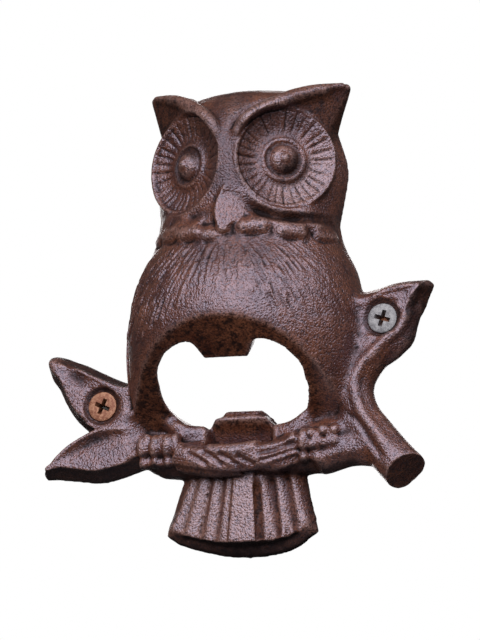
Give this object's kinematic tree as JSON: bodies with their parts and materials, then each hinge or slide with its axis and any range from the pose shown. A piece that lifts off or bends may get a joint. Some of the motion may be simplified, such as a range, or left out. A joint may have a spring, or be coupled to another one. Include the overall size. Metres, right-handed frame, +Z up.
{
  "type": "wall bottle opener",
  "caption": "Cast-iron owl on a leafy branch that screws flat to a wall; a slanted mouth with cap teeth through its belly opens crown-capped bottles.",
  "frame": {"origin": "midway between the axes of the two screws, on the wall face", "axes": "+X to the right as seen from the front, +Y into the wall, +Z up"},
  "size_m": [0.1128, 0.0494, 0.1315],
  "materials": {
    "brown_iron": "rough sand casting with a thin dark brown paint",
    "rusted_steel": "rusted",
    "zinc_steel": "dull zinc plating"
  },
  "bodies": {
    "root": {"owl_casting": "brown_iron", "left_screw": "rusted_steel", "right_screw": "zinc_steel"}
  },
  "joints": []
}
